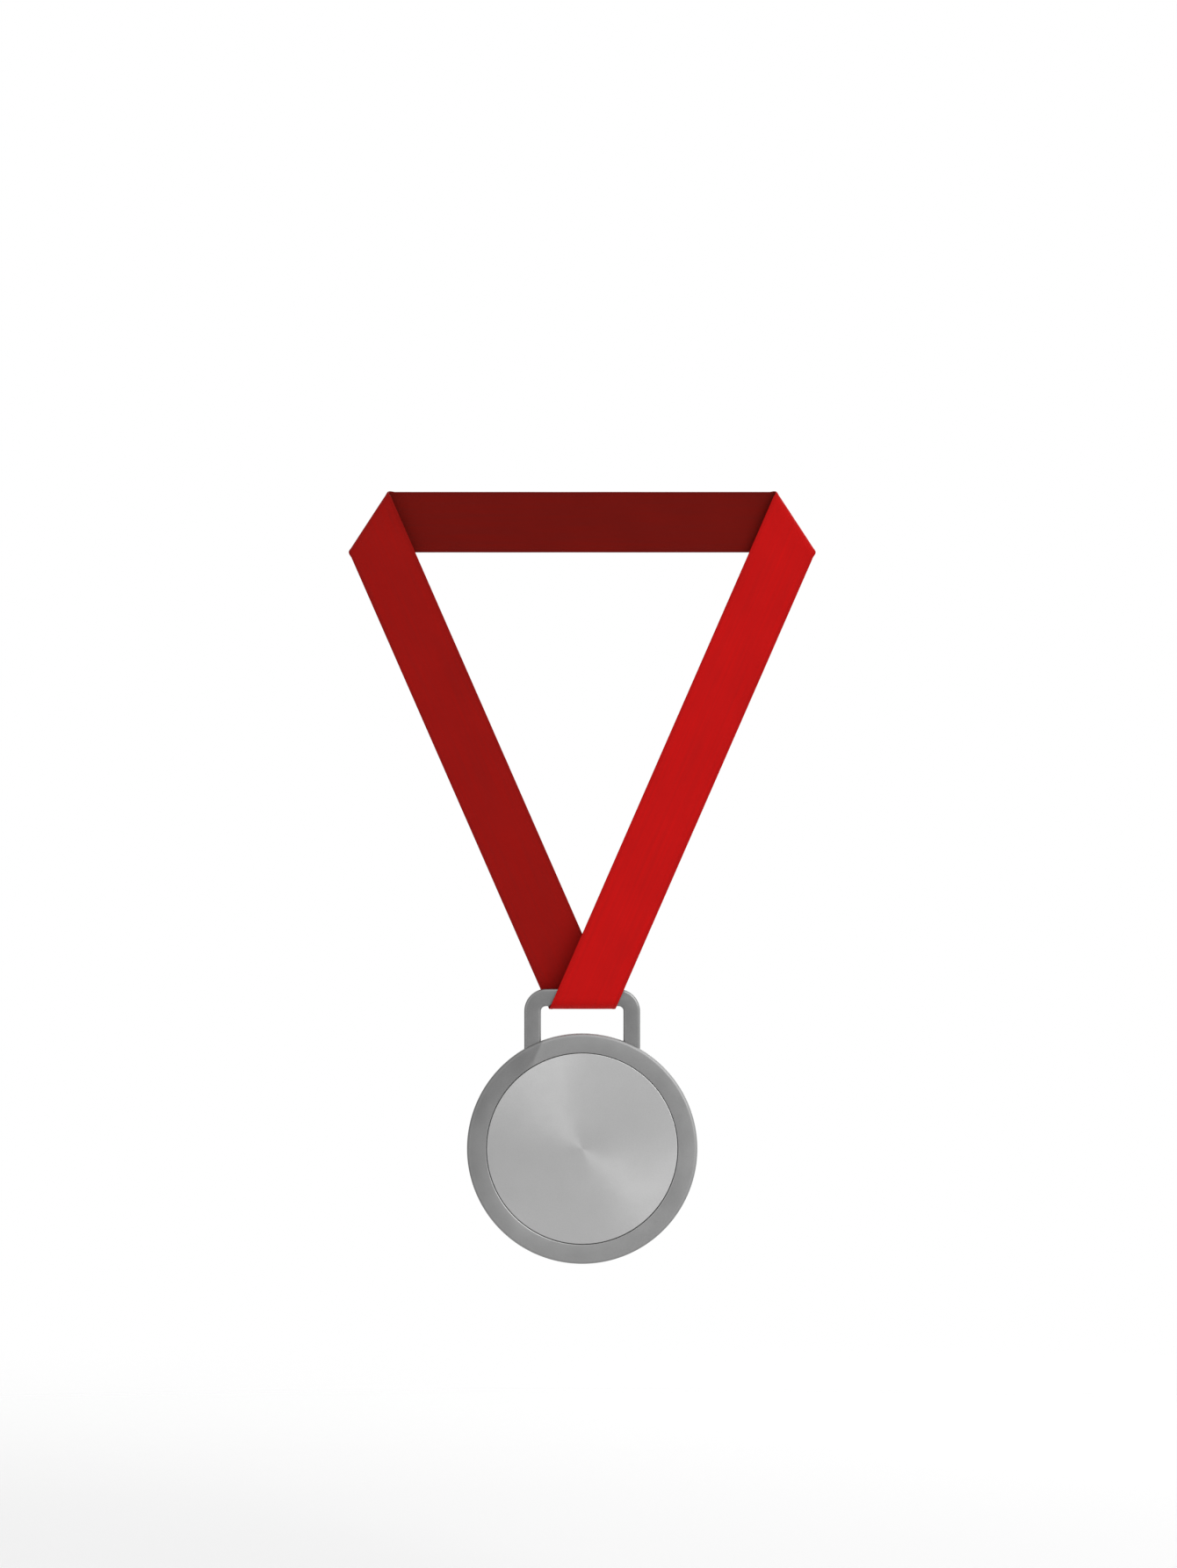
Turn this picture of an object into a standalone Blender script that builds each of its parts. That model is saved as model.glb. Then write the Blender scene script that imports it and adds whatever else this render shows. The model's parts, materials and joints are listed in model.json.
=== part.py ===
# A finisher medal that hangs on a folded ribbon. Metres, +Z up, front towards -Y.
# The origin is the middle of the neck band's inner face, where a neck or a peg carries it.
import math

import bmesh
import bpy
from mathutils import Vector

MM = 0.001

# Ribbon
RIBBON_WIDTH = 25.0 * MM
RIBBON_THICKNESS = 0.8 * MM
NECK_SPAN = 176.0 * MM
STRAP_DROP = 201.0 * MM
FOLD_RADIUS = 2.0 * MM
LAP_LENGTH = 20.0 * MM
LAYER_GAP = 0.3 * MM
RUN_GAP = 0.3 * MM
FOLD_STEPS = 10
TURN_STEPS = 20

# Bail
BAIL_OPENING = 34.0 * MM
BAIL_HEIGHT = 18.4 * MM
BAR_HEIGHT = 7.2 * MM
LEG_WIDTH = 6.9 * MM
BAIL_THICKNESS = 3.4 * MM
BAIL_INNER_RADIUS = 2.0 * MM
BAIL_OUTER_RADIUS = 8.3 * MM
BAIL_EDGE = 1.1 * MM
SOCKET_DEPTH = 3.5 * MM
SWING_CLEARANCE = 0.4 * MM
CORNER_STEPS = 8
EDGE_STEPS = 3

# Disc, plate and film
DISC_DIAMETER = 95.0 * MM
DISC_THICKNESS = 5.6 * MM
DISC_EDGE = 1.2 * MM
RIM_WIDTH = 8.0 * MM
RIM_LIP = 0.5 * MM
PLATE_THICKNESS = 1.0 * MM
PLATE_EDGE = 0.35 * MM
PLATE_SINK = 0.35 * MM
FILM_THICKNESS = 0.3 * MM
FILM_INSET = 1.5 * MM
BACK_RECESS = 0.8 * MM
SEAT_GAP = 0.3 * MM
FILM_GAP = 0.05 * MM
TURNED_STEPS = 96

# Edges: shaded sharp past the first angle, rounded on the bail past the second
SHARP_ANGLE = math.radians(40)
ROUNDED_ANGLE = math.radians(60)
MERGE_DISTANCE = 0.001 * MM

# Finishes: colour, roughness and metal share
RIBBON_FRONT = ((0.51, 0.009, 0.008), 0.6, 0.0)
RIBBON_SIDE = ((0.29, 0.009, 0.007), 0.65, 0.0)
RIBBON_INNER = ((0.153, 0.0075, 0.0044), 0.7, 0.0)
BAIL_METAL = ((0.209, 0.209, 0.209), 0.35, 1.0)
RIM_METAL = ((0.287, 0.287, 0.287), 0.38, 1.0)
PLATE_METAL = ((0.456, 0.456, 0.456), 0.3, 1.0)
FILM_GLUE = ((0.55, 0.5, 0.4), 0.5, 0.0)

# Places that follow from the sizes above
BAND_MID_Y = RIBBON_THICKNESS / 2
STRAP_TOP_Y = BAND_MID_Y - 2 * FOLD_RADIUS
BAR_SWING_RADIUS = (
    math.hypot(BAR_HEIGHT / 2 - BAIL_EDGE, BAIL_THICKNESS / 2 - BAIL_EDGE) + BAIL_EDGE
)
TURN_RADIUS = BAR_SWING_RADIUS + SWING_CLEARANCE + RIBBON_THICKNESS / 2
BAR_Z = -STRAP_DROP + RIBBON_THICKNESS / 2 + TURN_RADIUS
BAR_Y = (BAND_MID_Y + STRAP_TOP_Y) / 2 - FOLD_RADIUS / 2
LAYER_STEP = RIBBON_THICKNESS + LAYER_GAP
STRAP_RUN = NECK_SPAN / 2
STRAP_LEAN = math.atan2(STRAP_RUN, STRAP_DROP)
STRAP_SLOPE = math.tan(STRAP_LEAN)
LEVEL_HALF_WIDTH = RIBBON_WIDTH / math.cos(STRAP_LEAN) / 2
DISC_RADIUS = DISC_DIAMETER / 2
PLATE_SEAT_RADIUS = DISC_RADIUS - RIM_WIDTH
BAIL_TOP_Z = BAR_Z + BAR_HEIGHT / 2
DISC_Z = BAIL_TOP_Z - BAIL_HEIGHT - DISC_RADIUS
LEG_MIDDLE_X = BAIL_OPENING / 2 + LEG_WIDTH / 2


def clear_scene():
    for obj in list(bpy.data.objects):
        bpy.data.objects.remove(obj, do_unlink=True)


def make_material(name, colour, roughness, metallic):
    material = bpy.data.materials.new(name)
    material.use_nodes = True
    shader = material.node_tree.nodes["Principled BSDF"]
    shader.inputs["Base Color"].default_value = (*colour, 1.0)
    shader.inputs["Roughness"].default_value = roughness
    shader.inputs["Metallic"].default_value = metallic
    return material


def add_object(name, mesh, material):
    mesh.materials.append(material)
    mesh.shade_smooth()
    mesh.set_sharp_from_angle(angle=SHARP_ANGLE)
    obj = bpy.data.objects.new(name, mesh)
    bpy.context.scene.collection.objects.link(obj)
    return obj


def hang_on(obj, pivot):
    """Parents an object to the pivot and keeps its place: its mesh is drawn from the pivot."""
    obj.parent = pivot


# Ribbon: each run is a list of rulings, the straight lines across the strip

def corner_rulings(side):
    """Rulings round one upper fold, from the band's tangent line to the strap's."""
    along = Vector((1 - math.sin(STRAP_LEAN), 0, -math.cos(STRAP_LEAN))).normalized()
    inward = Vector((along.z, 0, -along.x))
    half = RIBBON_WIDTH / 2 / abs(along.z)
    slide = along.x / abs(along.z) * FOLD_RADIUS
    corner = Vector((NECK_SPAN / 2, 0, 0))
    rulings = []
    for step in range(FOLD_STEPS + 1):
        share = 2 * step / FOLD_STEPS - 1
        angle = share * math.pi / 2
        middle = corner + along * slide * share + inward * FOLD_RADIUS * (1 - math.cos(angle))
        middle.y = BAND_MID_Y - FOLD_RADIUS * (1 + math.sin(angle))
        rulings.append((middle - along * half, middle + along * half))
    return [mirrored(ruling, side) for ruling in rulings]


def mirrored(ruling, side):
    return tuple(Vector((side * point.x, point.y, point.z)) for point in ruling)


def strap_y(z, bar_y):
    """Depth of a strap at a height, on the straight line from its fold to beside the bar."""
    share = (z - BAR_Z) / -BAR_Z
    return bar_y + (STRAP_TOP_Y - bar_y) * share


def level_ruling(y, z, side):
    """The level line across a strap, from its inner to its outer edge."""
    middle = STRAP_SLOPE * (z + STRAP_DROP)
    inner = Vector((side * (middle - LEVEL_HALF_WIDTH), y, z))
    outer = Vector((side * (middle + LEVEL_HALF_WIDTH), y, z))
    return inner, outer


def strap_rulings(side, bar_y, end_z):
    """A flat run from its upper fold to a level end beside the bar."""
    first = corner_rulings(side)[-1]
    last = level_ruling(strap_y(end_z, bar_y), end_z, side)
    top = [point + (low - point).normalized() * RUN_GAP for point, low in zip(first, last)]
    return [tuple(top), last]


def turn_rulings():
    """Down in front of the bar, round under it and up behind the left strap to the lap's end."""
    front = BAR_Y - TURN_RADIUS
    back = BAR_Y + TURN_RADIUS + LAYER_STEP
    centre = (front + back) / 2
    reach = (back - front) / 2
    rulings = []
    for step in range(TURN_STEPS + 1):
        angle = math.pi * step / TURN_STEPS
        y = centre - reach * math.cos(angle)
        z = BAR_Z - TURN_RADIUS * math.sin(angle)
        ruling = level_ruling(y, z, 1 if angle <= math.pi / 2 else -1)
        rulings.append(ruling if angle <= math.pi / 2 else ruling[::-1])
    lap_z = BAR_Z + LAP_LENGTH
    lap_y = strap_y(lap_z, BAR_Y + TURN_RADIUS) + LAYER_STEP
    rulings.append(level_ruling(lap_y, lap_z, -1)[::-1])
    return rulings


def make_run(name, rulings, material):
    """A sheet through the rulings, thickened to both sides."""
    sheet = bmesh.new()
    rows = [[sheet.verts.new(point) for point in ruling] for ruling in rulings]
    for (a, b), (c, d) in zip(rows, rows[1:]):
        sheet.faces.new((a, b, d, c))
    bmesh.ops.recalc_face_normals(sheet, faces=sheet.faces)
    mesh = bpy.data.meshes.new(name)
    sheet.to_mesh(mesh)
    sheet.free()
    obj = add_object(name, mesh, material)
    thicken = obj.modifiers.new("thickness", "SOLIDIFY")
    thicken.thickness = RIBBON_THICKNESS
    thicken.offset = 0
    thicken.use_even_offset = True
    return obj


def make_ribbon():
    front = make_material("ribbon_front", *RIBBON_FRONT)
    side = make_material("ribbon_side", *RIBBON_SIDE)
    inner = make_material("ribbon_inner", *RIBBON_INNER)
    band = corner_rulings(-1)[::-1] + corner_rulings(1)
    make_run("neck_band", band, inner)
    make_run("left_strap", strap_rulings(-1, BAR_Y + TURN_RADIUS, BAR_Z), side)
    make_run("right_strap", strap_rulings(1, BAR_Y - TURN_RADIUS, BAR_Z + RUN_GAP), front)
    make_run("bar_turn", turn_rulings(), front)


# Bail: an inverted U cut from flat bar, with its feet in the disc's edge

def arc(centre, radius, start, end):
    """Points of a round corner in the XZ plane, by angles in degrees."""
    points = []
    for step in range(CORNER_STEPS + 1):
        angle = math.radians(start + (end - start) * step / CORNER_STEPS)
        points.append(centre + Vector((math.cos(angle), 0, math.sin(angle))) * radius)
    return points


def bail_outline(foot_z):
    """The outer line up, over and down, then the inner line back. Drawn from the bar's middle."""
    top = BAR_HEIGHT / 2
    inside = BAIL_OPENING / 2
    outside = inside + LEG_WIDTH
    outer_x = outside - BAIL_OUTER_RADIUS
    outer_z = top - BAIL_OUTER_RADIUS
    inner_x = inside - BAIL_INNER_RADIUS
    inner_z = -top - BAIL_INNER_RADIUS
    points = [Vector((-outside, 0, foot_z))]
    points += arc(Vector((-outer_x, 0, outer_z)), BAIL_OUTER_RADIUS, 180, 90)
    points += arc(Vector((outer_x, 0, outer_z)), BAIL_OUTER_RADIUS, 90, 0)
    points += [Vector((outside, 0, foot_z)), Vector((inside, 0, foot_z))]
    points += arc(Vector((inner_x, 0, inner_z)), BAIL_INNER_RADIUS, 0, 90)
    points += arc(Vector((-inner_x, 0, inner_z)), BAIL_INNER_RADIUS, 90, 180)
    points.append(Vector((-inside, 0, foot_z)))
    return points


def foot_level():
    """Height of the bail's feet from the bar, a socket's depth under the disc's edge."""
    outer_x = BAIL_OPENING / 2 + LEG_WIDTH
    edge = math.sqrt(DISC_RADIUS**2 - outer_x**2)
    return DISC_Z + edge - SOCKET_DEPTH - BAR_Z


def make_bail(pivot):
    shape = bmesh.new()
    shift = Vector((0, BAIL_THICKNESS / 2, 0))
    face = shape.faces.new([shape.verts.new(point - shift) for point in bail_outline(foot_level())])
    grown = bmesh.ops.extrude_face_region(shape, geom=[face])["geom"]
    far = [item for item in grown if isinstance(item, bmesh.types.BMVert)]
    bmesh.ops.translate(shape, verts=far, vec=2 * shift)
    bmesh.ops.recalc_face_normals(shape, faces=shape.faces)
    mesh = bpy.data.meshes.new("bail")
    shape.to_mesh(mesh)
    shape.free()
    bail = add_object("bail", mesh, make_material("bail_metal", *BAIL_METAL))
    edge = bail.modifiers.new("rounded_edges", "BEVEL")
    edge.width = BAIL_EDGE
    edge.segments = EDGE_STEPS
    edge.limit_method = "ANGLE"
    edge.angle_limit = ROUNDED_ANGLE
    hang_on(bail, pivot)


# Disc, plate and film: turned about a level axis through the disc's middle

def turned(name, profile):
    """A closed solid from (radius, depth) points that start and end on the axis."""
    middle = DISC_Z - BAR_Z
    shape = bmesh.new()
    points = [shape.verts.new((radius, depth, middle)) for radius, depth in profile]
    edges = [shape.edges.new(pair) for pair in zip(points, points[1:])]
    bmesh.ops.spin(
        shape,
        geom=points + edges,
        cent=(0, 0, middle),
        axis=(0, 1, 0),
        angle=2 * math.pi,
        steps=TURNED_STEPS,
        use_merge=True,
    )
    bmesh.ops.remove_doubles(shape, verts=shape.verts, dist=MERGE_DISTANCE)
    bmesh.ops.recalc_face_normals(shape, faces=shape.faces)
    bmesh.ops.triangulate(shape, faces=shape.faces)
    mesh = bpy.data.meshes.new(name)
    shape.to_mesh(mesh)
    shape.free()
    return mesh


def rounded(radius, depth, edge, inward):
    """A quarter-round edge on a turned profile, from its face to its side. inward is +1 or -1."""
    points = []
    for step in range(EDGE_STEPS + 1):
        angle = math.pi / 2 * step / EDGE_STEPS
        across = radius - edge * (1 - math.sin(angle))
        points.append((across, depth + inward * edge * (1 - math.cos(angle))))
    return points


def front_levels():
    """Depths of the plate's face and back, the film's back and the recess floor, front towards -Y."""
    plate_face = -DISC_THICKNESS / 2 + PLATE_SINK
    plate_back = plate_face + PLATE_THICKNESS
    film_back = plate_back + FILM_GAP + FILM_THICKNESS
    return plate_face, plate_back, film_back, film_back + FILM_GAP


def disc_profile():
    floor = front_levels()[-1]
    front = -DISC_THICKNESS / 2
    back = DISC_THICKNESS / 2
    points = [(0, floor), (PLATE_SEAT_RADIUS, floor)]
    points += [(PLATE_SEAT_RADIUS, front + RIM_LIP), (PLATE_SEAT_RADIUS + RIM_LIP, front)]
    points += rounded(DISC_RADIUS, front, DISC_EDGE, 1)
    points += rounded(DISC_RADIUS, back, DISC_EDGE, -1)[::-1]
    points += [(PLATE_SEAT_RADIUS + BACK_RECESS, back), (PLATE_SEAT_RADIUS, back - BACK_RECESS)]
    points.append((0, back - BACK_RECESS))
    return points


def make_socket(side, pivot):
    """Cutter for the pocket in the disc's edge that takes one foot of the bail."""
    foot = foot_level()
    height = -foot
    size = (LEG_WIDTH + 2 * SEAT_GAP, BAIL_THICKNESS + 2 * SEAT_GAP, height)
    shape = bmesh.new()
    bmesh.ops.create_cube(shape, size=1)
    bmesh.ops.scale(shape, vec=size, verts=shape.verts)
    middle = (side * LEG_MIDDLE_X, 0, foot - SEAT_GAP + height / 2)
    bmesh.ops.translate(shape, vec=middle, verts=shape.verts)
    mesh = bpy.data.meshes.new("socket")
    shape.to_mesh(mesh)
    shape.free()
    cutter = bpy.data.objects.new("socket_cutter", mesh)
    bpy.context.scene.collection.objects.link(cutter)
    cutter.hide_render = True
    cutter.display_type = "WIRE"
    hang_on(cutter, pivot)
    return cutter


def make_disc(pivot):
    metal = make_material("rim_metal", *RIM_METAL)
    disc = add_object("medal_disc", turned("medal_disc", disc_profile()), metal)
    hang_on(disc, pivot)
    for side in (-1, 1):
        cut = disc.modifiers.new("bail_socket", "BOOLEAN")
        cut.operation = "DIFFERENCE"
        cut.solver = "EXACT"
        cut.object = make_socket(side, pivot)


def make_plate(pivot):
    face, back, film_back = front_levels()[:3]
    radius = PLATE_SEAT_RADIUS - SEAT_GAP
    profile = [(0, face)] + rounded(radius, face, PLATE_EDGE, 1) + [(radius, back), (0, back)]
    metal = make_material("plate_metal", *PLATE_METAL)
    hang_on(add_object("centre_plate", turned("centre_plate", profile), metal), pivot)
    film_radius = radius - FILM_INSET
    film_front = back + FILM_GAP
    profile = [(0, film_front), (film_radius, film_front), (film_radius, film_back), (0, film_back)]
    glue = make_material("film_glue", *FILM_GLUE)
    hang_on(add_object("adhesive_film", turned("adhesive_film", profile), glue), pivot)


def main():
    clear_scene()
    make_ribbon()
    pivot = bpy.data.objects.new("bar_axis", None)
    pivot.location = (0, BAR_Y, BAR_Z)
    bpy.context.scene.collection.objects.link(pivot)
    make_bail(pivot)
    make_disc(pivot)
    make_plate(pivot)


main()
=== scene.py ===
import json
import math

import bmesh
import bpy
from mathutils import Matrix, Vector


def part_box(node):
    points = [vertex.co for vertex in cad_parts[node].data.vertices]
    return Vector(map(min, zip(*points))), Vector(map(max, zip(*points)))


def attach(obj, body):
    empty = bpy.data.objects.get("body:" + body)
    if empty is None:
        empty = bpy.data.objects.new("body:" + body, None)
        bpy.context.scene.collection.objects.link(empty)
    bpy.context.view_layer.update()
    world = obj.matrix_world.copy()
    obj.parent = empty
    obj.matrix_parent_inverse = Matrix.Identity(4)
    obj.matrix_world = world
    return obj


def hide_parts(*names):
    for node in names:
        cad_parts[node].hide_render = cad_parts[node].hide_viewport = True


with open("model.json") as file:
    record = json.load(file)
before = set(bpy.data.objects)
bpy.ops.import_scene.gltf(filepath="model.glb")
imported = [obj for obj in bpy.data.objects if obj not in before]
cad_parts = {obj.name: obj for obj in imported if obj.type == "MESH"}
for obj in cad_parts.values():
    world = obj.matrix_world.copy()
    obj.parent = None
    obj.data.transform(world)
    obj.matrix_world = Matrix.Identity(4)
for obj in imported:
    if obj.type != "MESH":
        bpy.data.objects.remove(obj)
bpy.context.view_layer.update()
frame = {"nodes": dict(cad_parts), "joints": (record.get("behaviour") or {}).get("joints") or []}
print("frame loaded:", ", ".join(sorted(frame["nodes"])))

mm = 0.001
near = 0.02 * mm  # how close a point has to be to count as there
quarterTurn = math.radians(90)

# places that come from the frame
hinge = Vector(frame["joints"][0]["pos_m"])  # middle of the bail's bar
bailLow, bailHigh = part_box("bail")
discLow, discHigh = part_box("medal_disc")
plateLow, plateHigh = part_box("centre_plate")
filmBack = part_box("adhesive_film")[1].y
discMiddle = (discLow + discHigh) / 2


# small helpers used by every piece

def deselectAll():
    if bpy.context.object and bpy.context.object.mode != "OBJECT":
        bpy.ops.object.mode_set(mode="OBJECT")
    bpy.ops.object.select_all(action="DESELECT")


def choose(obj):
    deselectAll()
    obj.select_set(True)
    bpy.context.view_layer.objects.active = obj


def settle(obj):
    # place, turn and scale go into the mesh
    choose(obj)
    bpy.ops.object.transform_apply(location=True, rotation=True, scale=True)


def applyAll(obj):
    choose(obj)
    for mod in list(obj.modifiers):
        bpy.ops.object.modifier_apply(modifier=mod.name)


def editMode(obj, kind):
    choose(obj)
    bpy.ops.object.mode_set(mode="EDIT")
    bpy.ops.mesh.select_mode(type=kind)
    bpy.ops.mesh.select_all(action="DESELECT")
    return bmesh.from_edit_mesh(obj.data)


def pick(obj, kind, test):
    # selects the faces, edges or verts that pass the test, and nothing else
    work = editMode(obj, kind)
    items = {"FACE": work.faces, "EDGE": work.edges, "VERT": work.verts}[kind]
    for item in items:
        if test(item):
            item.select_set(True)
    work.select_flush_mode()
    bmesh.update_edit_mesh(obj.data)


def faceOutwards():
    # turns every face of the mesh in edit mode, and ends that mode
    bpy.ops.mesh.select_all(action="SELECT")
    bpy.ops.mesh.normals_make_consistent(inside=False)
    bpy.ops.object.mode_set(mode="OBJECT")


def smooth(obj, degrees):
    choose(obj)
    bpy.ops.object.shade_smooth_by_angle(angle=math.radians(degrees))


# material helpers: a new tree, a new node, and sums on values

noiseSpan = (0.3, 0.7)  # where most of a noise texture's values lie


def newMaterial(name, metallic=0.0):
    mat = bpy.data.materials.new(name)
    mat.use_nodes = True
    shader = mat.node_tree.nodes["Principled BSDF"]
    shader.inputs["Metallic"].default_value = metallic
    return mat, mat.node_tree, shader


def addNode(tree, kind, sockets=None, **settings):
    node = tree.nodes.new(kind)
    for key, value in settings.items():
        setattr(node, key, value)
    for key, value in (sockets or {}).items():
        if isinstance(value, bpy.types.NodeSocket):
            tree.links.new(value, node.inputs[key])
        else:
            node.inputs[key].default_value = value
    return node


def maths(tree, operation, first, second=0.0):
    return addNode(tree, "ShaderNodeMath", {0: first, 1: second}, operation=operation).outputs[0]


def times(tree, first, *others):
    for other in others:
        first = maths(tree, "MULTIPLY", first, other)
    return first


def wave(tree, value, length):
    return maths(tree, "SINE", maths(tree, "MULTIPLY", value, 2 * math.pi / length))


def vectorMaths(tree, operation, first, second=(0, 0, 0)):
    node = addNode(tree, "ShaderNodeVectorMath", {0: first, 1: second}, operation=operation)
    return node.outputs["Value" if operation in ("LENGTH", "DOT_PRODUCT") else "Vector"]


def objectPlace(tree):
    return addNode(tree, "ShaderNodeTexCoord").outputs["Object"]


def noise(tree, place, scale, detail):
    sockets = {"Vector": place, "Scale": scale, "Detail": detail}
    return addNode(tree, "ShaderNodeTexNoise", sockets).outputs[0]


def spread(tree, value, span, low, high):
    # the span of a value becomes low to high, and stops there
    sockets = {"Value": value, "From Min": span[0], "From Max": span[1], "To Min": low, "To Max": high}
    return addNode(tree, "ShaderNodeMapRange", sockets).outputs["Result"]


def tint(tree, colour, factor):
    # colour times a grey value
    grey = addNode(tree, "ShaderNodeCombineColor", {"Red": factor, "Green": factor, "Blue": factor})
    sockets = {0: 1.0, 6: colour, 7: grey.outputs[0]}
    return addNode(tree, "ShaderNodeMix", sockets, data_type="RGBA", blend_type="MULTIPLY").outputs[2]


def bumpInto(tree, shader, height, strength, distance):
    sockets = {"Height": height, "Strength": strength, "Distance": distance}
    bump = addNode(tree, "ShaderNodeBump", sockets)
    tree.links.new(bump.outputs["Normal"], shader.inputs["Normal"])


# camera and light

camera = {
    "aim": (0.0026, -0.003, -0.1081),
    "distance": 3.0,
    "frameHeight": 0.6467,
    "sensor": 36.0,
    "clipEnd": 50.0,
}


def makeCamera():
    data = bpy.data.cameras.new("photoCamera")
    data.sensor_width = camera["sensor"]
    data.lens = camera["sensor"] * camera["distance"] / camera["frameHeight"]
    data.clip_end = camera["clipEnd"]
    obj = bpy.data.objects.new("photoCamera", data)
    x, y, z = camera["aim"]
    obj.location = (x, y - camera["distance"], z)
    obj.rotation_euler = (quarterTurn, 0, 0)
    bpy.context.scene.collection.objects.link(obj)
    bpy.context.scene.camera = obj


lampAim = Vector((0, 0, -0.15))
lamps = [
    {"name": "keyLamp", "place": (1.3, -1.7, 1.0), "size": 1.7, "watts": 25},
    {"name": "fillLamp", "place": (-1.6, -1.4, 0.2), "size": 2.0, "watts": 8},
    {"name": "backLamp", "place": (0.7, 1.8, 0.9), "size": 2.2, "watts": 24},
]


def makeLamps():
    for lamp in lamps:
        data = bpy.data.lights.new(lamp["name"], "AREA")
        data.energy = lamp["watts"]
        data.size = lamp["size"]
        obj = bpy.data.objects.new(lamp["name"], data)
        obj.location = lamp["place"]
        obj.rotation_euler = (lampAim - obj.location).to_track_quat("-Z", "Y").to_euler()
        bpy.context.scene.collection.objects.link(obj)


room = {
    "light": 0.62,
    "shown": 1.0,
    "darkGloss": 0.42,
    "paleGloss": 1.28,
    "lean": (0.75, 0.0, 0.65),
    "leanSpan": (-0.8, 0.8),
}


def makeRoom():
    # pale all round: white to the camera, and in the metal darker low on the left, paler high on the right
    world = bpy.data.worlds.new("paleRoom")
    bpy.context.scene.world = world
    world.use_nodes = True
    tree = world.node_tree
    background = tree.nodes["Background"]
    background.inputs["Color"].default_value = (1, 1, 1, 1)
    path = addNode(tree, "ShaderNodeLightPath").outputs
    ray = addNode(tree, "ShaderNodeTexCoord").outputs["Generated"]
    lean = vectorMaths(tree, "DOT_PRODUCT", ray, room["lean"])
    gloss = spread(tree, lean, room["leanSpan"], room["darkGloss"], room["paleGloss"])
    lit = addNode(tree, "ShaderNodeMix", {0: path["Is Glossy Ray"], 2: room["light"], 3: gloss})
    shown = addNode(tree, "ShaderNodeMix", {0: path["Is Camera Ray"], 2: lit.outputs[0], 3: room["shown"]})
    tree.links.new(shown.outputs[0], background.inputs["Strength"])


floor = {
    "height": -0.45,
    "radius": 1.6,
    "sides": 96,
    "fadeFrom": 0.35,
    "fadeTo": 1.5,
    "colour": (0.86, 0.86, 0.86),
    "rough": 0.8,
}


def makeFloor():
    deselectAll()
    bpy.ops.mesh.primitive_circle_add(
        vertices=floor["sides"], radius=floor["radius"], fill_type="NGON", location=(0, 0, floor["height"])
    )
    obj = bpy.context.object
    obj.name = "paleFloor"
    settle(obj)
    mat, tree, shader = newMaterial("paleFloor")
    shader.inputs["Base Color"].default_value = (*floor["colour"], 1)
    shader.inputs["Roughness"].default_value = floor["rough"]
    # fades away with distance, so its rim never shows
    far = vectorMaths(tree, "LENGTH", vectorMaths(tree, "MULTIPLY", objectPlace(tree), (1, 1, 0)))
    sockets = {"Value": far, "From Min": floor["fadeFrom"], "From Max": floor["fadeTo"]}
    fade = addNode(tree, "ShaderNodeMapRange", sockets, interpolation_type="SMOOTHSTEP").outputs["Result"]
    clear = addNode(tree, "ShaderNodeBsdfTransparent").outputs[0]
    mix = addNode(tree, "ShaderNodeMixShader", {0: fade, 1: shader.outputs[0], 2: clear})
    tree.links.new(mix.outputs[0], tree.nodes["Material Output"].inputs["Surface"])
    obj.data.materials.append(mat)


bpy.context.scene.view_settings.view_transform = "Standard"
makeCamera()
makeLamps()
makeRoom()
makeFloor()
print("camera, light and floor made")


# ribbon: one woven strip, folded at both top corners and taken round the bail's bar

ribbon = {
    "width": 25.0 * mm,
    "thick": 0.8 * mm,
    "span": 176.0 * mm,
    "drop": 201.0 * mm,
    "foldRadius": 2.0 * mm,
    "layerGap": 0.3 * mm,
    "lap": 20.0 * mm,
    "cutLength": 0.646,
    "strapRows": 100,
    "bandRows": 84,
    "foldRows": 22,
    "turnRows": 40,
    "lapRows": 12,
    "smoothAngle": 50,
    "frontRed": (0.522, 0.0036, 0.0034),
    # the left strap's satin red is darker than the front red: painted shade
    "shadedLeftRed": (0.294, 0.0036, 0.002),
    "innerRed": (0.152, 0.003, 0.0008),
    "sealShade": 0.6,
}
# half thickness in mm, from the edge inwards: a woven edge that is a little thicker than the middle
selvedge = [
    (0.0, 0.10), (0.12, 0.26), (0.35, 0.38), (0.7, 0.42), (1.1, 0.40), (1.5, 0.33),
    (2.0, 0.34), (4.0, 0.35), (6.5, 0.36), (9.5, 0.36), (12.5, 0.36),
]
bodyHalf = selvedge[-1][1] * mm
# slow waves in the slack runs, calmer along the middle
ripple = {
    "height": 0.22 * mm,
    "calm": 0.35,
    "waves": [
        {"length": 58 * mm, "twist": 2.2, "start": 0.0, "share": 1.0},
        {"length": 37 * mm, "twist": -3.1, "start": 1.3, "share": 0.6},
    ],
    "runs": ("left", "band", "right"),
}

bandY = ribbon["thick"] / 2
foldY = bandY - 2 * ribbon["foldRadius"]
turnRadius = hinge.z + ribbon["drop"] - ribbon["thick"] / 2
layerStep = ribbon["thick"] + ribbon["layerGap"]
frontY = hinge.y - turnRadius
backY = hinge.y + turnRadius
strapLean = math.atan2(ribbon["span"] / 2, ribbon["drop"])


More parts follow.
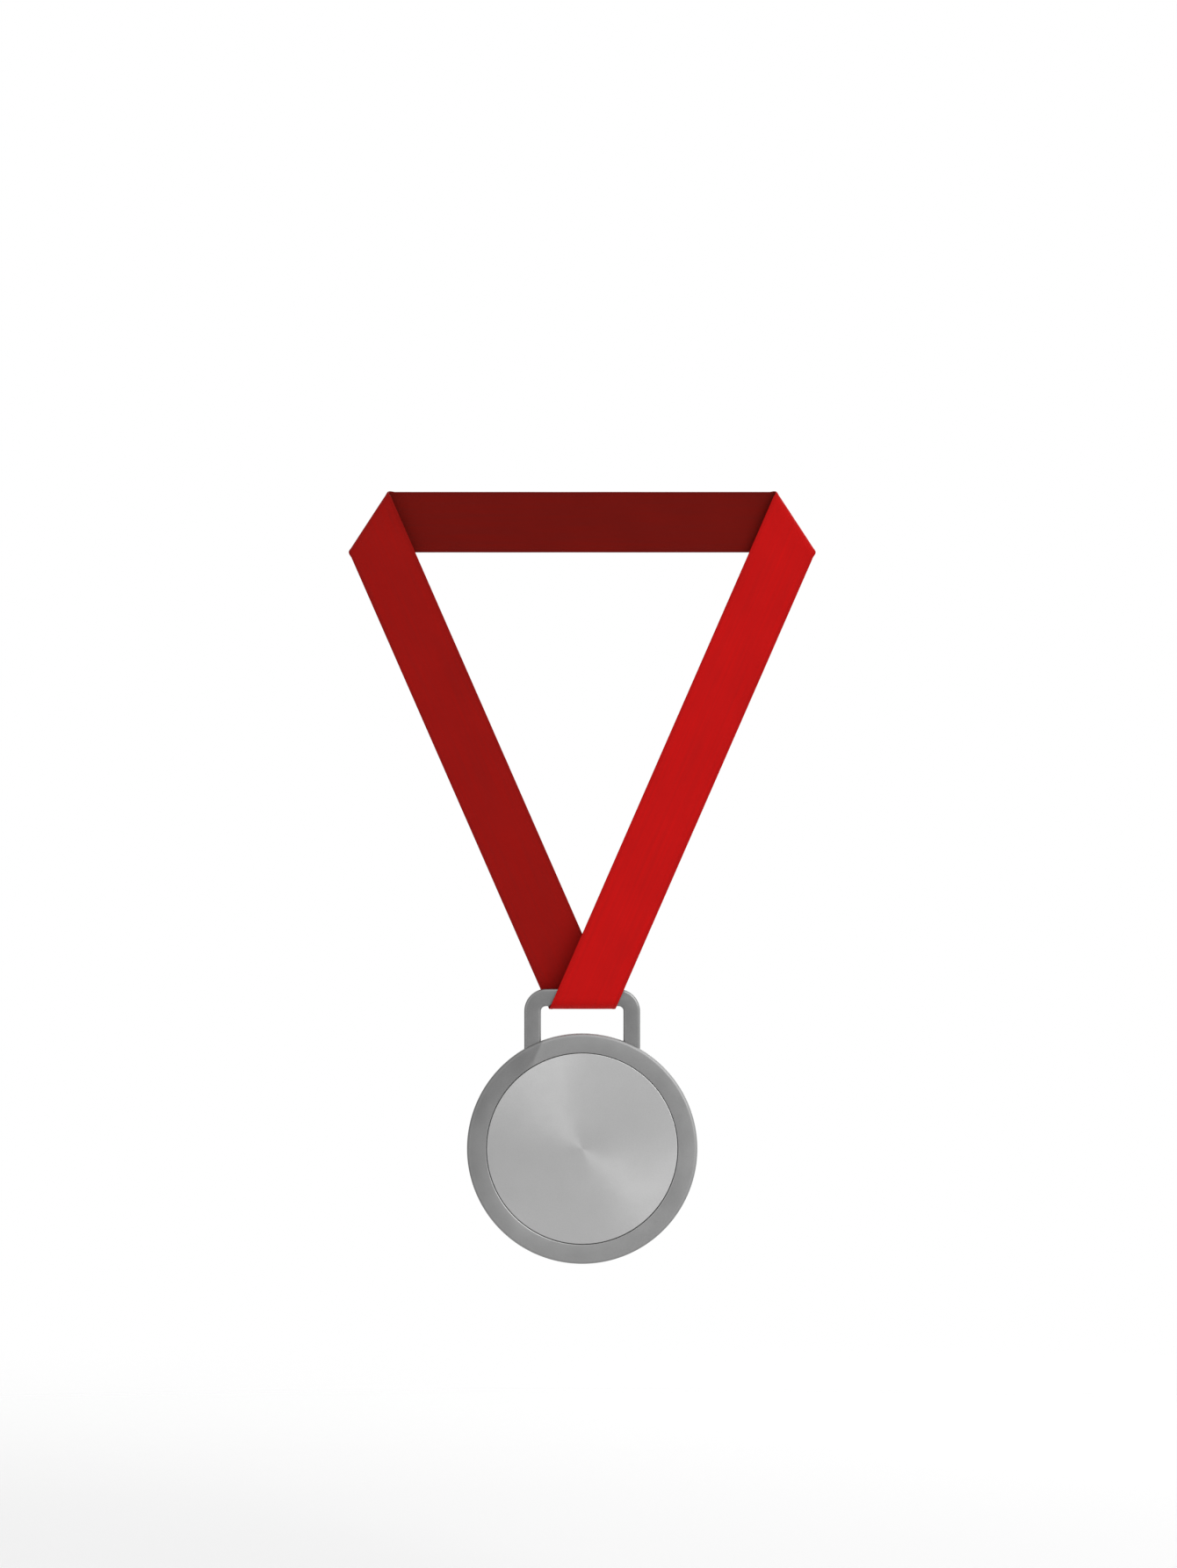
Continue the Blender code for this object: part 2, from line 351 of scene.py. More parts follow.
def cornerLines(side):
    # lines along one rolled fold, from the band round to the strap
    along = Vector((1 - math.sin(strapLean), 0, -math.cos(strapLean))).normalized()
    inward = Vector((along.z, 0, -along.x))
    half = ribbon["width"] / 2 / abs(along.z)
    slide = along.x / abs(along.z) * ribbon["foldRadius"]
    lines = []
    for step in range(ribbon["foldRows"] + 1):
        share = 2 * step / ribbon["foldRows"] - 1
        angle = share * quarterTurn
        middle = Vector((ribbon["span"] / 2, 0, 0)) + along * slide * share
        middle += inward * ribbon["foldRadius"] * (1 - math.cos(angle))
        middle.y = bandY - ribbon["foldRadius"] * (1 + math.sin(angle))
        ends = (middle - along * half, middle + along * half)
        lines.append(tuple(Vector((side * p.x, p.y, p.z)) for p in ends))
    return lines


def levelLine(y, z, side):
    # level line across a strap, inner edge first
    middle = math.tan(strapLean) * (z + ribbon["drop"])
    half = ribbon["width"] / 2 / math.cos(strapLean)
    return Vector((side * (middle - half), y, z)), Vector((side * (middle + half), y, z))


def strapY(z, barSideY):
    # depth of a strap that runs straight from its fold to beside the bar
    return barSideY + (foldY - barSideY) * (z - hinge.z) / -hinge.z


def between(first, last, rows):
    # rows of lines from first to last, with both ends left out
    lines = []
    for row in range(1, rows):
        lines.append(tuple(a.lerp(b, row / rows) for a, b in zip(first, last)))
    return lines


def turnLines():
    # down in front of the bar, under it, and up to behind the left strap
    centre = (frontY + backY + layerStep) / 2
    reach = (backY + layerStep - frontY) / 2
    lines = []
    for step in range(ribbon["turnRows"] + 1):
        angle = math.pi * step / ribbon["turnRows"]
        y = centre - reach * math.cos(angle)
        z = hinge.z - turnRadius * math.sin(angle)
        front = angle <= quarterTurn
        line = levelLine(y, z, 1 if front else -1)
        lines.append(line if front else line[::-1])
    return lines


def ribbonLines():
    # every line across the strip in order, and the run that each belongs to
    leftFold = cornerLines(-1)[::-1]
    rightFold = cornerLines(1)
    leftEnd = levelLine(backY, hinge.z, -1)
    rightEnd = levelLine(frontY, hinge.z, 1)
    turn = turnLines()
    lapZ = hinge.z + ribbon["lap"]
    lapEnd = levelLine(strapY(lapZ, backY) + layerStep, lapZ, -1)[::-1]
    parts = [
        ("left", [leftEnd] + between(leftEnd, leftFold[0], ribbon["strapRows"])),
        ("leftFold", leftFold),
        ("band", between(leftFold[-1], rightFold[0], ribbon["bandRows"])),
        ("rightFold", rightFold),
        ("right", between(rightFold[-1], rightEnd, ribbon["strapRows"])),
        ("turn", turn),
        ("lap", between(turn[-1], lapEnd, ribbon["lapRows"]) + [lapEnd]),
    ]
    lines = []
    runs = []
    for run, part in parts:
        lines += part
        runs += [run] * len(part)
    return lines, runs


def edgeLengths(lines):
    # running length along both edges, so the weave stays square to the strip
    lengths = [(0.0, 0.0)]
    for before, line in zip(lines, lines[1:]):
        lengths.append(tuple(lengths[-1][k] + (line[k] - before[k]).length for k in (0, 1)))
    return lengths


def acrossSteps():
    # places across the strip as shares, and the half thickness at each
    width = ribbon["width"] / mm
    nearHalf = [(place / width, half * mm) for place, half in selvedge]
    farHalf = [(1 - place, half) for place, half in nearHalf[-2::-1]]
    return nearHalf + farHalf


def rippleAt(along, across, length):
    # fades to nothing at both ends of a run
    if not 0 < along < length:
        return 0.0
    total = 0.0
    for each in ripple["waves"]:
        phase = 2 * math.pi * along / each["length"] + each["twist"] * across + each["start"]
        total += each["share"] * math.sin(phase)
    fade = math.sqrt(math.sin(math.pi * along / length))
    nearEdge = abs(2 * across - 1)
    return ripple["height"] * fade * total * (ripple["calm"] + (1 - ripple["calm"]) * nearEdge)


def dyeAndShadeAt(run, along, bandStart, bandEnd):
    # the satin side runs from the deeper red of the left strap, which is painted shade, to the bright red
    # of the right one
    share = 1.0
    if run in ("left", "leftFold"):
        share = 0.0
    elif run == "band":
        share = (along - bandStart) / (bandEnd - bandStart)
    return Vector(ribbon["shadedLeftRed"]).lerp(Vector(ribbon["frontRed"]), share)


def ribbonSkin(lines, runs):
    # points of the satin side, then of the inner side, each with its dye, with painted shade on the left
    # strap's satin side, and its place on the flat strip
    steps = acrossSteps()
    grid = [[a.lerp(b, share) for share, half in steps] for a, b in lines]
    lengths = edgeLengths(lines)
    middles = [sum(pair) / 2 for pair in lengths]
    starts = {}
    ends = {}
    for run, length in zip(runs, middles):
        starts.setdefault(run, length)
        ends[run] = length
    lastRow = len(lines) - 1
    points = []
    dyesAndShade = []
    places = []
    for side in (1, -1):
        for row, run in enumerate(runs):
            over = grid[row][-1] - grid[row][0]
            sealed = ribbon["sealShade"] if row in (0, lastRow) else 1.0  # ends melted shut
            for col, (share, half) in enumerate(steps):
                ahead = grid[min(row + 1, lastRow)][col] - grid[max(row - 1, 0)][col]
                lift = side * half
                if run in ripple["runs"]:
                    lift += rippleAt(middles[row] - starts[run], share, ends[run] - starts[run])
                points.append(grid[row][col] + ahead.cross(over).normalized() * lift)
                along = lengths[row][0] * (1 - share) + lengths[row][1] * share
                places.append((share * ribbon["width"], along))
                satin = dyeAndShadeAt(run, along, starts["band"], ends["band"])
                dyesAndShade.append((satin if side == 1 else Vector(ribbon["innerRed"])) * sealed)
    print("ribbon is", round(middles[-1], 4), "m long")
    return points, dyesAndShade, places


def ribbonFaces(rows, cols):
    def at(side, row, col):
        return (side * rows + row) * cols + col

    faces = []
    for row in range(rows - 1):
        for col in range(cols - 1):
            for side in (0, 1):
                ring = [(row, col), (row + 1, col), (row + 1, col + 1), (row, col + 1)]
                faces.append([at(side, *corner) for corner in ring])
        for col in (0, cols - 1):
            faces.append([at(0, row, col), at(1, row, col), at(1, row + 1, col), at(0, row + 1, col)])
    for col in range(cols - 1):
        for row in (0, rows - 1):
            faces.append([at(0, row, col), at(0, row, col + 1), at(1, row, col + 1), at(1, row, col)])
    return faces


def makeRibbon():
    # its folds and turn follow formulas, so its points are worked out and not modelled by hand
    lines, runs = ribbonLines()
    points, dyesAndShade, places = ribbonSkin(lines, runs)
    faces = ribbonFaces(len(lines), len(acrossSteps()))
    mesh = bpy.data.meshes.new("wovenRibbon")
    mesh.from_pydata([tuple(point) for point in points], [], faces)
    strip = mesh.uv_layers.new(name="strip")
    for loop in mesh.loops:
        strip.data[loop.index].uv = places[loop.vertex_index]
    # the colour attribute holds the dye, with painted shade on the left strap's satin side
    dyeAndShade = mesh.attributes.new("dyeAndShade", "FLOAT_COLOR", "POINT")
    for index, colour in enumerate(dyesAndShade):
        dyeAndShade.data[index].color = (*colour, 1)
    obj = bpy.data.objects.new("wovenRibbon", mesh)
    bpy.context.scene.collection.objects.link(obj)
    editMode(obj, "FACE")
    faceOutwards()
    smooth(obj, ribbon["smoothAngle"])
    mesh.materials.append(ribbonWeave())
    print("ribbon made:", len(faces), "faces")
    return obj


weave = {
    "warp": 0.55 * mm,
    "weft": 0.8 * mm,
    "depth": 0.12 * mm,
    "bump": 0.6,
    "edge": 1.3 * mm,
    "edgeBlend": 0.1 * mm,
    "edgeShade": 0.9,
    "streaks": (900, 25, 1),
    "streakDetail": 3,
    "streakShade": (0.94, 1.06),
    "clouds": 38.0,
    "cloudDetail": 2,
    "cloudShade": (0.95, 1.05),
    # the weave's valleys darker and rib tops lighter: painted shade
    "paintedRibShade": (0.9, 1.08),
    "rough": (0.5, 0.66),
    "gloss": 0.07,
    "sheen": 0.08,
    "sheenRough": 0.4,
    "sheenTint": (1.0, 0.08, 0.06),
}


def ribbonWeave():
    mat, tree, shader = newMaterial("wovenRibbon")
    shader.inputs["Sheen Weight"].default_value = weave["sheen"]
    shader.inputs["Sheen Roughness"].default_value = weave["sheenRough"]
    shader.inputs["Sheen Tint"].default_value = (*weave["sheenTint"], 1)
    shader.inputs["Specular IOR Level"].default_value = weave["gloss"]
    # the dye attribute carries painted shade on the left strap's satin side
    dyeAndShade = addNode(tree, "ShaderNodeAttribute", attribute_name="dyeAndShade").outputs["Color"]
    strip = addNode(tree, "ShaderNodeUVMap", uv_map="strip").outputs["UV"]
    split = addNode(tree, "ShaderNodeSeparateXYZ", {0: strip}).outputs
    warp = maths(tree, "ABSOLUTE", wave(tree, split["X"], weave["warp"]))
    weft = maths(tree, "ABSOLUTE", wave(tree, split["Y"], weave["weft"]))
    rib = times(tree, warp, weft)
    stretch = addNode(tree, "ShaderNodeMapping", {"Vector": strip, "Scale": weave["streaks"]}).outputs[0]
    streaks = noise(tree, stretch, 1.0, weave["streakDetail"])
    clouds = noise(tree, strip, weave["clouds"], weave["cloudDetail"])
    fromMiddle = maths(tree, "ABSOLUTE", maths(tree, "SUBTRACT", split["X"], ribbon["width"] / 2))
    edge = ribbon["width"] / 2 - weave["edge"]
    edgeSpan = (edge - weave["edgeBlend"], edge + weave["edgeBlend"])
    # the weave's darker valleys and lighter rib tops are painted shade; streaks, clouds and the woven edge
    # are the ribbon's own tone
    shade = times(
        tree,
        spread(tree, streaks, noiseSpan, *weave["streakShade"]),
        spread(tree, clouds, noiseSpan, *weave["cloudShade"]),
        spread(tree, rib, (0.0, 1.0), *weave["paintedRibShade"]),
        spread(tree, fromMiddle, edgeSpan, 1.0, weave["edgeShade"]),
    )
    tree.links.new(tint(tree, dyeAndShade, shade), shader.inputs["Base Color"])
    tree.links.new(spread(tree, streaks, noiseSpan, *weave["rough"]), shader.inputs["Roughness"])
    bumpInto(tree, shader, rib, weave["bump"], weave["depth"])
    return mat


# sewing thread that closes the lap, inside the part that the front strap covers

stitch = {
    "half": 4.8 * mm,
    "low": -193.0 * mm,
    "high": -183.4 * mm,
    "length": 1.75 * mm,
    "pitch": 2.1 * mm,
    "thread": 0.21 * mm,
    "sides": 8,
    "flat": 0.3,
    "taper": 0.6,
    "dip": 1.6,
    "smoothAngle": 60,
    "colour": (0.2, 0.003, 0.0025),
    "rough": 0.6,
    "gloss": 0.15,
    "twist": 900.0,
    # the thread is darker in the grooves of its twist: painted shade
    "paintedTwistShade": (0.75, 1.15),
    "twistBump": 0.4,
    "twistDepth": 0.05 * mm,
}


def threadMaterial():
    mat, tree, shader = newMaterial("sewingThread")
    shader.inputs["Roughness"].default_value = stitch["rough"]
    shader.inputs["Specular IOR Level"].default_value = stitch["gloss"]
    sockets = {"Vector": objectPlace(tree), "Scale": stitch["twist"]}
    twist = addNode(tree, "ShaderNodeTexWave", sockets, bands_direction="DIAGONAL").outputs["Fac"]
    # painted shade: darker in the twist's grooves, lighter on its plies
    shade = spread(tree, twist, (0.0, 1.0), *stitch["paintedTwistShade"])
    tree.links.new(tint(tree, (*stitch["colour"], 1), shade), shader.inputs["Base Color"])
    bumpInto(tree, shader, twist, stitch["twistBump"], stitch["twistDepth"])
    return mat


def stitchPlaces():
    # a sewn box with a cross in it: places and leans, in the plane of the lap
    half, low, high = stitch["half"], stitch["low"], stitch["high"]
    corners = [(-half, low), (half, low), (half, high), (-half, high)]
    lines = [(corners[k], corners[(k + 1) % 4]) for k in range(4)]
    lines += [(corners[0], corners[2]), (corners[1], corners[3])]
    places = []
    for (x0, z0), (x1, z1) in lines:
        count = int(math.hypot(x1 - x0, z1 - z0) / stitch["pitch"])
        lean = math.atan2(z1 - z0, x1 - x0)
        for step in range(count):
            share = (step + 0.5) / count
            places.append((x0 + (x1 - x0) * share, z0 + (z1 - z0) * share, lean))
    return places


def makeStitch():
    # one stitch by hand: a short thread that dips in at both ends
    deselectAll()
    bpy.ops.mesh.primitive_cylinder_add(
        vertices=stitch["sides"],
        radius=stitch["thread"],
        depth=stitch["length"],
        rotation=(0, quarterTurn, 0),
    )
    obj = bpy.context.object
    settle(obj)
    editMode(obj, "EDGE")
    for side in (1, -1):
        bpy.ops.mesh.select_all(action="SELECT")
        bpy.ops.mesh.bisect(plane_co=(side * stitch["flat"] * stitch["length"], 0, 0), plane_no=(1, 0, 0))
    pick(obj, "VERT", lambda v: abs(v.co.x) > stitch["flat"] * stitch["length"] + near)
    bpy.ops.transform.resize(value=(1, stitch["taper"], stitch["taper"]))
    bpy.ops.transform.translate(value=(0, -stitch["dip"] * stitch["thread"], 0))
    bpy.ops.object.mode_set(mode="OBJECT")
    return obj


def makeStitches():
    single = makeStitch()
    tilt = Matrix.Rotation((backY - foldY) / -hinge.z, 4, "X")
    copies = []
    for x, z, lean in stitchPlaces():
        lapFace = strapY(z, backY) + layerStep + bodyHalf
        strapFace = strapY(z, backY) - bodyHalf
        for y, turn in ((lapFace, 0.0), (strapFace, math.pi)):
            copy = single.copy()
            copy.data = single.data.copy()
            spin = Matrix.Rotation(-lean, 4, "Y") @ Matrix.Rotation(turn, 4, "X")
            copy.data.transform(Matrix.Translation((x, y, z)) @ tilt @ spin)
            bpy.context.scene.collection.objects.link(copy)
            copies.append(copy)
    bpy.data.objects.remove(single, do_unlink=True)
    choose(copies[0])
    for copy in copies:
        copy.select_set(True)
    bpy.ops.object.join()
    obj = bpy.context.object
    obj.name = "lapStitches"
    smooth(obj, stitch["smoothAngle"])
    obj.data.materials.append(threadMaterial())
    print("stitches made:", len(copies))
    return obj


woven = makeRibbon()
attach(woven, "ribbon")
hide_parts("neck_band", "left_strap", "right_strap", "bar_turn")
thread = makeStitches()
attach(thread, "ribbon")


# metal finishes

finish = {
    "bail": {"grey": 0.224, "rough": (0.3, 0.42), "patch": 0.04},
    "rim": {"grey": 0.3, "rough": (0.3, 0.4), "patch": 0.03},
    "plate": {"grey": 0.466, "rough": (0.3, 0.34), "patch": 0.012},
    "cast": {"grey": 0.3, "rough": (0.45, 0.6), "patch": 0.05},
}
metal = {
    "patches": 90.0,
    "patchDetail": 4,
    "grains": 2200.0,
    "grainDetail": 2,
    "grainShade": (0.97, 1.03),
}


def metalShade(tree, shader, look, tone=None, dull=None):
    # patchy grey with small pores, times a tone (edge wear on the bail, painted shade on the rim), rougher
    # where it is dull
    place = objectPlace(tree)
    patches = noise(tree, place, metal["patches"], metal["patchDetail"])
    grain = noise(tree, place, metal["grains"], metal["grainDetail"])
    shade = times(
        tree,
        spread(tree, patches, noiseSpan, 1 - look["patch"], 1 + look["patch"]),
        spread(tree, grain, noiseSpan, *metal["grainShade"]),
    )
    if tone is not None:
        shade = times(tree, shade, tone)
    grey = look["grey"]
    tree.links.new(tint(tree, (grey, grey, grey, 1), shade), shader.inputs["Base Color"])
    rough = spread(tree, patches, noiseSpan, *look["rough"])
    if dull is not None:
        rough = maths(tree, "ADD", rough, dull)
    tree.links.new(rough, shader.inputs["Roughness"])
    return grain


def fromDiscAxis(tree):
    flat = vectorMaths(tree, "SUBTRACT", objectPlace(tree), tuple(discMiddle))
    return vectorMaths(tree, "LENGTH", vectorMaths(tree, "MULTIPLY", flat, (1, 0, 1)))


def ringsAndGrain(tree, radius, pitch, share, grain):
    # turned rings with the grain on top
    return maths(tree, "ADD", times(tree, wave(tree, radius, pitch), share), grain)


brushing = {
    "stretch": (60, 2500, 2500),
    "detail": 2,
    "bump": 0.12,
    "depth": 0.04 * mm,
    "worn": 1.12,
    "wornSpan": (0.5, 0.6),
}


def bailMetal():
    mat, tree, shader = newMaterial("bailMetal", 1.0)
    sharp = addNode(tree, "ShaderNodeNewGeometry").outputs["Pointiness"]
    worn = spread(tree, sharp, brushing["wornSpan"], 1.0, brushing["worn"])
    metalShade(tree, shader, finish["bail"], worn)
    sockets = {"Vector": objectPlace(tree), "Scale": brushing["stretch"]}
    stretch = addNode(tree, "ShaderNodeMapping", sockets).outputs[0]
    strokes = noise(tree, stretch, 1.0, brushing["detail"])
    bumpInto(tree, shader, strokes, brushing["bump"], brushing["depth"])
    return mat


rimRings = {
    "pitch": 0.35 * mm,
    "share": 0.3,
    "bump": 0.1,
    "depth": 0.03 * mm,
    "edgeSpan": (46.0 * mm, 46.8 * mm),
    "edgeDull": 0.22,
}
# painted shade: the left of the rim is darker, up to a line that slants like the front strap and fades out
# lower down
paintedRimShadeZone = {
    "place": (-16.4 * mm, 0, -214.1 * mm),
    "facing": (0.91, 0, -0.415),
    "blend": 0.5 * mm,
    "softBlend": 22.0 * mm,
    "softFrom": -222.1 * mm,
    "shade": 0.72,
    "frontSpan": (-4.8 * mm, -4.4 * mm),
}


def paintedRimShade(tree):
    place = objectPlace(tree)
    split = addNode(tree, "ShaderNodeSeparateXYZ", {0: place}).outputs
    past = vectorMaths(tree, "SUBTRACT", place, paintedRimShadeZone["place"])
    past = vectorMaths(tree, "DOT_PRODUCT", past, paintedRimShadeZone["facing"])
    fadeSpan = (discMiddle.z, paintedRimShadeZone["softFrom"])
    blend = spread(tree, split["Z"], fadeSpan, paintedRimShadeZone["softBlend"], paintedRimShadeZone["blend"])
    # painted shade: darker left of the slanted line, sharp near the top and softer lower down
    tone = spread(tree, maths(tree, "DIVIDE", past, blend), (-1.0, 1.0), paintedRimShadeZone["shade"], 1.0)
    behind = spread(tree, split["Y"], paintedRimShadeZone["frontSpan"], 0.0, 1.0)  # only the front has the tone
    return maths(tree, "MAXIMUM", tone, behind)


def rimMetal():
    mat, tree, shader = newMaterial("rimMetal", 1.0)
    radius = fromDiscAxis(tree)
    dull = spread(tree, radius, rimRings["edgeSpan"], 0.0, rimRings["edgeDull"])  # the tumbled edge
    # the rim's grey takes the painted shade on its left
    grain = metalShade(tree, shader, finish["rim"], paintedRimShade(tree), dull)
    height = ringsAndGrain(tree, radius, rimRings["pitch"], rimRings["share"], grain)
    bumpInto(tree, shader, height, rimRings["bump"], rimRings["depth"])
    return mat


spun = {"anisotropic": 0.75, "pitch": 0.5 * mm, "share": 0.35, "bump": 0.08, "depth": 0.03 * mm}


def plateMetal():
    mat, tree, shader = newMaterial("plateMetal", 1.0)
    shader.inputs["Anisotropic"].default_value = spun["anisotropic"]
    around = addNode(tree, "ShaderNodeTangent", direction_type="RADIAL", axis="Y")
    tree.links.new(around.outputs[0], shader.inputs["Tangent"])
    grain = metalShade(tree, shader, finish["plate"])
    height = ringsAndGrain(tree, fromDiscAxis(tree), spun["pitch"], spun["share"], grain)
    bumpInto(tree, shader, height, spun["bump"], spun["depth"])
    return mat


blasted = {"bump": 0.35, "depth": 0.05 * mm}


def castMetal():
    # the hollow behind is as it left the mould, blasted and duller
    mat, tree, shader = newMaterial("castMetal", 1.0)
    grain = metalShade(tree, shader, finish["cast"])
    bumpInto(tree, shader, grain, blasted["bump"], blasted["depth"])
    return mat


# bail: flat bar bent to an upside-down U, feet in the disc's edge

bail = {
    "leg": 6.9 * mm,
    "bar": 7.2 * mm,
    "outerCorner": 9.2 * mm,
    "innerCorner": 2.0 * mm,
    "outerSteps": 20,
    "innerSteps": 10,
    "edge": 1.1 * mm,
    "edgeSteps": 6,
    "edgeAngle": 60,
    "flatAngle": 0.5,
    "smoothAngle": 40,
}


def roundCorners(obj, x, z, radius, steps):
    # the corner at that place and its mirror image, while the bail is still flat
    pick(obj, "VERT", lambda v: abs(abs(v.co.x) - x) < near and abs(v.co.z - z) < near)
    bpy.ops.mesh.bevel(offset=radius, segments=steps, affect="VERTICES")


def makeBail():
    outside = bailHigh.x
    inside = outside - bail["leg"]
    barFoot = bailHigh.z - bail["bar"]
    height = bailHigh.z - bailLow.z
    deselectAll()
    bpy.ops.mesh.primitive_plane_add(
        size=1, location=(0, bailLow.y, bailLow.z + height / 2), rotation=(quarterTurn, 0, 0)
    )
    obj = bpy.context.object
    obj.name = "flatBail"
    obj.scale = (2 * outside, height, 1)
    settle(obj)
    roundCorners(obj, outside, bailHigh.z, bail["outerCorner"], bail["outerSteps"])
    # cut out the window, down to the feet
    cuts = [((inside, 0, 0), (1, 0, 0)), ((-inside, 0, 0), (1, 0, 0)), ((0, 0, barFoot), (0, 0, 1))]
    for place, normal in cuts:
        bpy.ops.mesh.select_all(action="SELECT")
        bpy.ops.mesh.bisect(plane_co=place, plane_no=normal)
    window = Vector((0, bailLow.y, (bailLow.z + barFoot) / 2))
    pick(obj, "FACE", lambda f: (f.calc_center_median() - window).length < near)
    bpy.ops.mesh.delete(type="FACE")
    roundCorners(obj, inside, barFoot, bail["innerCorner"], bail["innerSteps"])
    # one flat face again, then its thickness
    bpy.ops.mesh.select_all(action="SELECT")
    bpy.ops.mesh.dissolve_limited(angle_limit=math.radians(bail["flatAngle"]))
    bpy.ops.mesh.select_all(action="SELECT")
    bpy.ops.mesh.extrude_region_move(TRANSFORM_OT_translate={"value": (0, bailHigh.y - bailLow.y, 0)})
    faceOutwards()
    edge = obj.modifiers.new("roundedEdges", "BEVEL")
    edge.width = bail["edge"]
    edge.segments = bail["edgeSteps"]
    edge.limit_method = "ANGLE"
    edge.angle_limit = math.radians(bail["edgeAngle"])
    applyAll(obj)
    smooth(obj, bail["smoothAngle"])
    obj.data.materials.append(bailMetal())
    print("bail made:", len(obj.data.polygons), "faces")
    return obj


flatBail = makeBail()
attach(flatBail, "medal")
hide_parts("bail")


# disc: cast body with a raised rim, a seat for the plate in front and a shallow hollow behind

disc = {
    "sides": 192,
    "rim": 8.0 * mm,
    "edge": 1.2 * mm,
    "edgeSteps": 8,
    "lip": 0.5 * mm,
    "lipSteps": 4,
    "filmRoom": 0.05 * mm,
    "hollow": 0.8 * mm,
    "hollowEdge": 0.3 * mm,
    "hollowSteps": 3,
    "footRoom": 0.12 * mm,
    "legRoom": 0.07 * mm,
    "facing": 0.9,
    "smoothAngle": 32,
}


def isRing(edge, radius, y):
    # an edge of the circle of that radius at that depth
    for vert in edge.verts:
        far = math.hypot(vert.co.x, vert.co.z - discMiddle.z)
        if abs(vert.co.y - y) > near or abs(far - radius) > near:
            return False
    return True


def roundRings(obj, rings, width, steps):
    # bevels the circles given as radius and depth
    pick(obj, "EDGE", lambda e: any(isRing(e, radius, y) for radius, y in rings))
    bpy.ops.mesh.bevel(offset=width, segments=steps, affect="EDGES")


def addRound(name, radius, low, high):
    # a round slab that faces forward, from one depth to another
    deselectAll()
    bpy.ops.mesh.primitive_cylinder_add(
        vertices=disc["sides"],
        radius=radius,
        depth=high - low,
        location=(0, (low + high) / 2, discMiddle.z),
        rotation=(quarterTurn, 0, 0),
    )
    obj = bpy.context.object
    obj.name = name
    settle(obj)
    return obj


def cutSockets(obj):
    # pockets in the edge for the bail's feet
    floorZ = bailLow.z - disc["footRoom"]
    height = hinge.z - floorZ
    width = bail["leg"] + 2 * disc["legRoom"]
    depth = bailHigh.y - bailLow.y + 2 * disc["legRoom"]
    cutters = []
    for side in (-1, 1):
        deselectAll()
        legX = side * (bailHigh.x - bail["leg"] / 2)
        bpy.ops.mesh.primitive_cube_add(size=1, location=(legX, discMiddle.y, floorZ + height / 2))
        cutter = bpy.context.object
        cutter.scale = (width, depth, height)
        settle(cutter)
        cut = obj.modifiers.new("socket", "BOOLEAN")
        cut.operation = "DIFFERENCE"
        cut.solver = "EXACT"
        cut.object = cutter
        cutters.append(cutter)
    applyAll(obj)
    for cutter in cutters:
        bpy.data.objects.remove(cutter, do_unlink=True)


